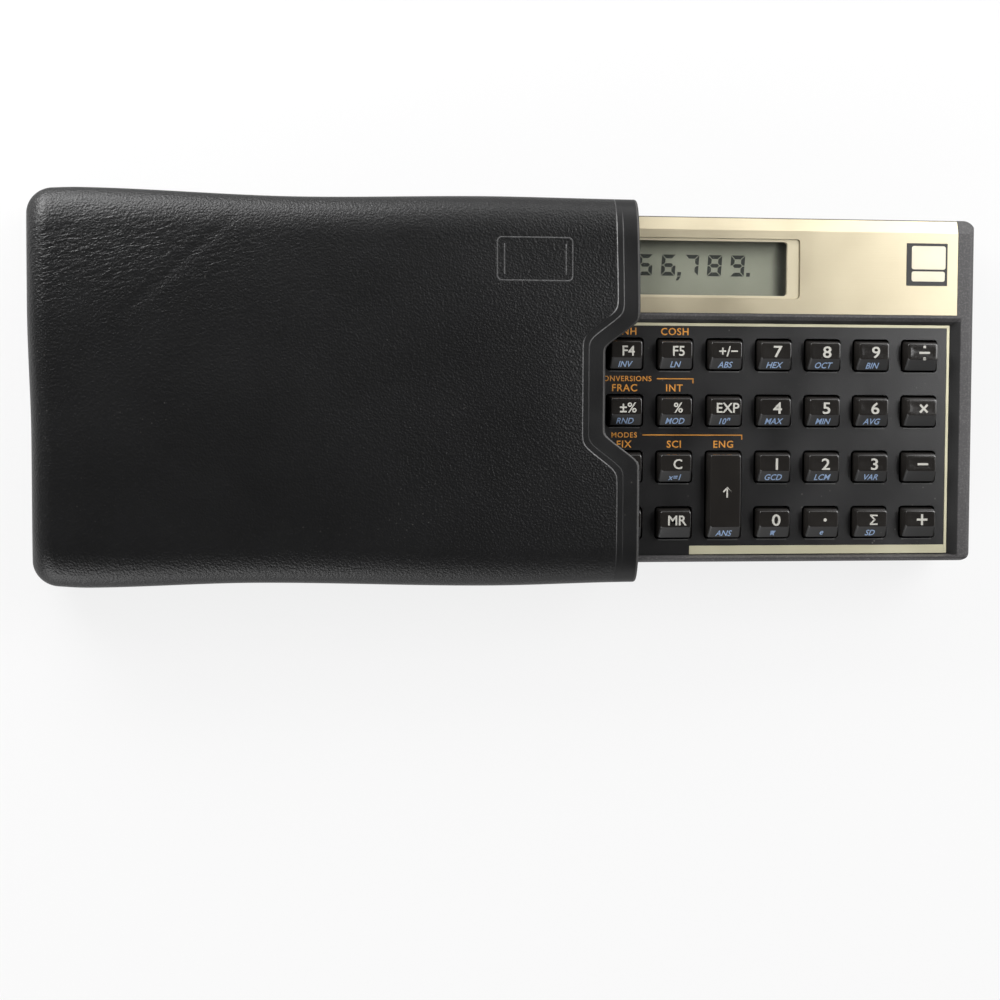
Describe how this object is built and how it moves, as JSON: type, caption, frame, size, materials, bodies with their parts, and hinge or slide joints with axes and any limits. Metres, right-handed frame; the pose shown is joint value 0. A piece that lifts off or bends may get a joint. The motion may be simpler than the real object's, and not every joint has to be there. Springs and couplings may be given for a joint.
{
  "type": "financial calculator",
  "caption": "Landscape pocket calculator with a metal display panel and sprung wedge keys, sliding in and out of a soft slip sleeve with a thumb notch.",
  "frame": {"origin": "under the middle of the whole object at rest, on the surface that the sleeve lies on", "axes": "+X from the sleeve to the bare end of the calculator, +Y towards the display, +Z out of the keys"},
  "size_m": [0.2126, 0.086, 0.0187],
  "materials": {
    "case_plastic": "fine moulded texture, semi-matt",
    "display_gold": "champagne anodised, brushed along the length",
    "frame_gold": "pale gold satin",
    "clear_window": "clear, polished",
    "badge_black": "satin black with two pale fields",
    "keyboard_black": "satin black with gold border lines",
    "lcd_glass": "grey-green liquid crystal panel",
    "connector_rubber": "elastomer strip",
    "board_green": "solder mask",
    "chip_black": "moulded epoxy",
    "dome_film": "film with metal snap domes",
    "cell_steel": "bright nickel",
    "contact_brass": "spring brass",
    "foot_rubber": "matt rubber",
    "screw_steel": "zinc",
    "key_black": "double-shot moulded, satin gloss",
    "key_gold": "double-shot moulded, satin gloss",
    "key_blue": "double-shot moulded, satin gloss",
    "sleeve_leather": "black grained leatherette"
  },
  "bodies": {
    "calculator": {"front_case": "case_plastic", "rear_case": "case_plastic", "display_plate": "display_gold", "window_frame": "frame_gold", "display_window": "clear_window", "badge_plate": "badge_black", "keyboard_plate": "keyboard_black", "lcd_panel": "lcd_glass", "lcd_connectors": "connector_rubber", "circuit_board": "board_green", "logic_chips": "chip_black", "dome_sheet": "dome_film", "battery_cells": "cell_steel", "battery_contacts": "contact_brass", "rubber_feet": "foot_rubber", "case_screws": "screw_steel"},
    "sleeve": {"sleeve_front": "sleeve_leather", "sleeve_back": "sleeve_leather"},
    "battery_door": {"battery_door": "case_plastic"},
    "key_term": {"key_term": "key_black"},
    "key_rate": {"key_rate": "key_black"},
    "key_present_value": {"key_present_value": "key_black"},
    "key_payment": {"key_payment": "key_black"},
    "key_future_value": {"key_future_value": "key_black"},
    "key_change_sign": {"key_change_sign": "key_black"},
    "key_7": {"key_7": "key_black"},
    "key_8": {"key_8": "key_black"},
    "key_9": {"key_9": "key_black"},
    "key_divide": {"key_divide": "key_black"},
    "key_power": {"key_power": "key_black"},
    "key_reciprocal": {"key_reciprocal": "key_black"},
    "key_percent_total": {"key_percent_total": "key_black"},
    "key_percent_change": {"key_percent_change": "key_black"},
    "key_percent": {"key_percent": "key_black"},
    "key_exponent": {"key_exponent": "key_black"},
    "key_4": {"key_4": "key_black"},
    "key_5": {"key_5": "key_black"},
    "key_6": {"key_6": "key_black"},
    "key_multiply": {"key_multiply": "key_black"},
    "key_run": {"key_run": "key_black"},
    "key_step": {"key_step": "key_black"},
    "key_roll": {"key_roll": "key_black"},
    "key_swap": {"key_swap": "key_black"},
    "key_clear": {"key_clear": "key_black"},
    "key_enter": {"key_enter": "key_black"},
    "key_1": {"key_1": "key_black"},
    "key_2": {"key_2": "key_black"},
    "key_3": {"key_3": "key_black"},
    "key_minus": {"key_minus": "key_black"},
    "key_on": {"key_on": "key_black"},
    "key_gold_shift": {"key_gold_shift": "key_gold"},
    "key_blue_shift": {"key_blue_shift": "key_blue"},
    "key_store": {"key_store": "key_black"},
    "key_recall": {"key_recall": "key_black"},
    "key_0": {"key_0": "key_black"},
    "key_point": {"key_point": "key_black"},
    "key_sum": {"key_sum": "key_black"},
    "key_plus": {"key_plus": "key_black"}
  },
  "joints": [
    {"name": "sleeve_slide", "type": "slide", "parent": "calculator", "child": "sleeve", "axis": [-1, 0, 0], "range_m": [-0.081, 0.06]},
    {"name": "battery_door_slide", "type": "slide", "parent": "calculator", "child": "battery_door", "axis": [0, 1, 0], "range_m": [0, 0.017]},
    {"name": "key_term_press", "type": "slide", "parent": "calculator", "child": "key_term", "axis": [0, 0, -1], "range_m": [0, 0.0006], "stiffness_N_per_m": 1400, "deforming": ["dome_sheet"]},
    {"name": "key_rate_press", "type": "slide", "parent": "calculator", "child": "key_rate", "axis": [0, 0, -1], "range_m": [0, 0.0006], "stiffness_N_per_m": 1400, "deforming": ["dome_sheet"]},
    {"name": "key_present_value_press", "type": "slide", "parent": "calculator", "child": "key_present_value", "axis": [0, 0, -1], "range_m": [0, 0.0006], "stiffness_N_per_m": 1400, "deforming": ["dome_sheet"]},
    {"name": "key_payment_press", "type": "slide", "parent": "calculator", "child": "key_payment", "axis": [0, 0, -1], "range_m": [0, 0.0006], "stiffness_N_per_m": 1400, "deforming": ["dome_sheet"]},
    {"name": "key_future_value_press", "type": "slide", "parent": "calculator", "child": "key_future_value", "axis": [0, 0, -1], "range_m": [0, 0.0006], "stiffness_N_per_m": 1400, "deforming": ["dome_sheet"]},
    {"name": "key_change_sign_press", "type": "slide", "parent": "calculator", "child": "key_change_sign", "axis": [0, 0, -1], "range_m": [0, 0.0006], "stiffness_N_per_m": 1400, "deforming": ["dome_sheet"]},
    {"name": "key_7_press", "type": "slide", "parent": "calculator", "child": "key_7", "axis": [0, 0, -1], "range_m": [0, 0.0006], "stiffness_N_per_m": 1400, "deforming": ["dome_sheet"]},
    {"name": "key_8_press", "type": "slide", "parent": "calculator", "child": "key_8", "axis": [0, 0, -1], "range_m": [0, 0.0006], "stiffness_N_per_m": 1400, "deforming": ["dome_sheet"]},
    {"name": "key_9_press", "type": "slide", "parent": "calculator", "child": "key_9", "axis": [0, 0, -1], "range_m": [0, 0.0006], "stiffness_N_per_m": 1400, "deforming": ["dome_sheet"]},
    {"name": "key_divide_press", "type": "slide", "parent": "calculator", "child": "key_divide", "axis": [0, 0, -1], "range_m": [0, 0.0006], "stiffness_N_per_m": 1400, "deforming": ["dome_sheet"]},
    {"name": "key_power_press", "type": "slide", "parent": "calculator", "child": "key_power", "axis": [0, 0, -1], "range_m": [0, 0.0006], "stiffness_N_per_m": 1400, "deforming": ["dome_sheet"]},
    {"name": "key_reciprocal_press", "type": "slide", "parent": "calculator", "child": "key_reciprocal", "axis": [0, 0, -1], "range_m": [0, 0.0006], "stiffness_N_per_m": 1400, "deforming": ["dome_sheet"]},
    {"name": "key_percent_total_press", "type": "slide", "parent": "calculator", "child": "key_percent_total", "axis": [0, 0, -1], "range_m": [0, 0.0006], "stiffness_N_per_m": 1400, "deforming": ["dome_sheet"]},
    {"name": "key_percent_change_press", "type": "slide", "parent": "calculator", "child": "key_percent_change", "axis": [0, 0, -1], "range_m": [0, 0.0006], "stiffness_N_per_m": 1400, "deforming": ["dome_sheet"]},
    {"name": "key_percent_press", "type": "slide", "parent": "calculator", "child": "key_percent", "axis": [0, 0, -1], "range_m": [0, 0.0006], "stiffness_N_per_m": 1400, "deforming": ["dome_sheet"]},
    {"name": "key_exponent_press", "type": "slide", "parent": "calculator", "child": "key_exponent", "axis": [0, 0, -1], "range_m": [0, 0.0006], "stiffness_N_per_m": 1400, "deforming": ["dome_sheet"]},
    {"name": "key_4_press", "type": "slide", "parent": "calculator", "child": "key_4", "axis": [0, 0, -1], "range_m": [0, 0.0006], "stiffness_N_per_m": 1400, "deforming": ["dome_sheet"]},
    {"name": "key_5_press", "type": "slide", "parent": "calculator", "child": "key_5", "axis": [0, 0, -1], "range_m": [0, 0.0006], "stiffness_N_per_m": 1400, "deforming": ["dome_sheet"]},
    {"name": "key_6_press", "type": "slide", "parent": "calculator", "child": "key_6", "axis": [0, 0, -1], "range_m": [0, 0.0006], "stiffness_N_per_m": 1400, "deforming": ["dome_sheet"]},
    {"name": "key_multiply_press", "type": "slide", "parent": "calculator", "child": "key_multiply", "axis": [0, 0, -1], "range_m": [0, 0.0006], "stiffness_N_per_m": 1400, "deforming": ["dome_sheet"]},
    {"name": "key_run_press", "type": "slide", "parent": "calculator", "child": "key_run", "axis": [0, 0, -1], "range_m": [0, 0.0006], "stiffness_N_per_m": 1400, "deforming": ["dome_sheet"]},
    {"name": "key_step_press", "type": "slide", "parent": "calculator", "child": "key_step", "axis": [0, 0, -1], "range_m": [0, 0.0006], "stiffness_N_per_m": 1400, "deforming": ["dome_sheet"]},
    {"name": "key_roll_press", "type": "slide", "parent": "calculator", "child": "key_roll", "axis": [0, 0, -1], "range_m": [0, 0.0006], "stiffness_N_per_m": 1400, "deforming": ["dome_sheet"]},
    {"name": "key_swap_press", "type": "slide", "parent": "calculator", "child": "key_swap", "axis": [0, 0, -1], "range_m": [0, 0.0006], "stiffness_N_per_m": 1400, "deforming": ["dome_sheet"]},
    {"name": "key_clear_press", "type": "slide", "parent": "calculator", "child": "key_clear", "axis": [0, 0, -1], "range_m": [0, 0.0006], "stiffness_N_per_m": 1400, "deforming": ["dome_sheet"]},
    {"name": "key_enter_press", "type": "slide", "parent": "calculator", "child": "key_enter", "axis": [0, 0, -1], "range_m": [0, 0.0006], "stiffness_N_per_m": 1400, "deforming": ["dome_sheet"]},
    {"name": "key_1_press", "type": "slide", "parent": "calculator", "child": "key_1", "axis": [0, 0, -1], "range_m": [0, 0.0006], "stiffness_N_per_m": 1400, "deforming": ["dome_sheet"]},
    {"name": "key_2_press", "type": "slide", "parent": "calculator", "child": "key_2", "axis": [0, 0, -1], "range_m": [0, 0.0006], "stiffness_N_per_m": 1400, "deforming": ["dome_sheet"]},
    {"name": "key_3_press", "type": "slide", "parent": "calculator", "child": "key_3", "axis": [0, 0, -1], "range_m": [0, 0.0006], "stiffness_N_per_m": 1400, "deforming": ["dome_sheet"]},
    {"name": "key_minus_press", "type": "slide", "parent": "calculator", "child": "key_minus", "axis": [0, 0, -1], "range_m": [0, 0.0006], "stiffness_N_per_m": 1400, "deforming": ["dome_sheet"]},
    {"name": "key_on_press", "type": "slide", "parent": "calculator", "child": "key_on", "axis": [0, 0, -1], "range_m": [0, 0.0006], "stiffness_N_per_m": 1400, "deforming": ["dome_sheet"]},
    {"name": "key_gold_shift_press", "type": "slide", "parent": "calculator", "child": "key_gold_shift", "axis": [0, 0, -1], "range_m": [0, 0.0006], "stiffness_N_per_m": 1400, "deforming": ["dome_sheet"]},
    {"name": "key_blue_shift_press", "type": "slide", "parent": "calculator", "child": "key_blue_shift", "axis": [0, 0, -1], "range_m": [0, 0.0006], "stiffness_N_per_m": 1400, "deforming": ["dome_sheet"]},
    {"name": "key_store_press", "type": "slide", "parent": "calculator", "child": "key_store", "axis": [0, 0, -1], "range_m": [0, 0.0006], "stiffness_N_per_m": 1400, "deforming": ["dome_sheet"]},
    {"name": "key_recall_press", "type": "slide", "parent": "calculator", "child": "key_recall", "axis": [0, 0, -1], "range_m": [0, 0.0006], "stiffness_N_per_m": 1400, "deforming": ["dome_sheet"]},
    {"name": "key_0_press", "type": "slide", "parent": "calculator", "child": "key_0", "axis": [0, 0, -1], "range_m": [0, 0.0006], "stiffness_N_per_m": 1400, "deforming": ["dome_sheet"]},
    {"name": "key_point_press", "type": "slide", "parent": "calculator", "child": "key_point", "axis": [0, 0, -1], "range_m": [0, 0.0006], "stiffness_N_per_m": 1400, "deforming": ["dome_sheet"]},
    {"name": "key_sum_press", "type": "slide", "parent": "calculator", "child": "key_sum", "axis": [0, 0, -1], "range_m": [0, 0.0006], "stiffness_N_per_m": 1400, "deforming": ["dome_sheet"]},
    {"name": "key_plus_press", "type": "slide", "parent": "calculator", "child": "key_plus", "axis": [0, 0, -1], "range_m": [0, 0.0006], "stiffness_N_per_m": 1400, "deforming": ["dome_sheet"]}
  ]
}
